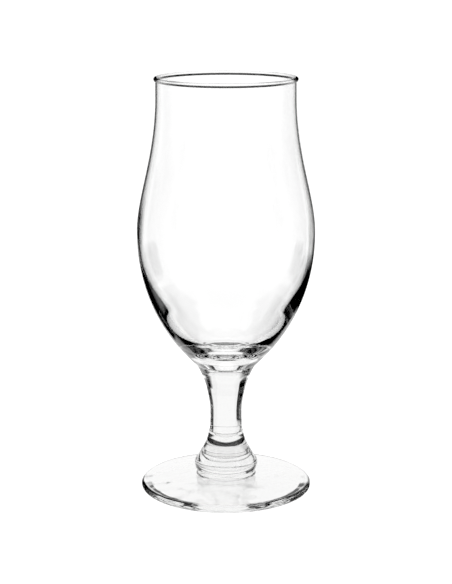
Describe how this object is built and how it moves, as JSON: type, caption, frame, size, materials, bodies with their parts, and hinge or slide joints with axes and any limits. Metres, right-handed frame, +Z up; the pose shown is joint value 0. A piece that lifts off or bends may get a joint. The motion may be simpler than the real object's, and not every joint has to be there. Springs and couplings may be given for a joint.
{
  "type": "footed beer glass",
  "caption": "Clear tulip-shaped footed beer glass: thin blown bowl with a beaded lip, short stem with a flared head, bell-shaped knop and domed foot, welded hot.",
  "frame": {"origin": "centre of the flat ring that the glass stands on, at table level", "axes": "+Z up along the axis of the glass, from the foot to the open rim; X and Y are any two level directions, because the glass is round"},
  "size_m": [0.0785, 0.0784, 0.185],
  "materials": {
    "clear_glass": "fire-polished clear soda-lime glass"
  },
  "bodies": {
    "root": {"bowl": "clear_glass", "stem": "clear_glass", "knop": "clear_glass", "foot": "clear_glass"}
  },
  "joints": []
}
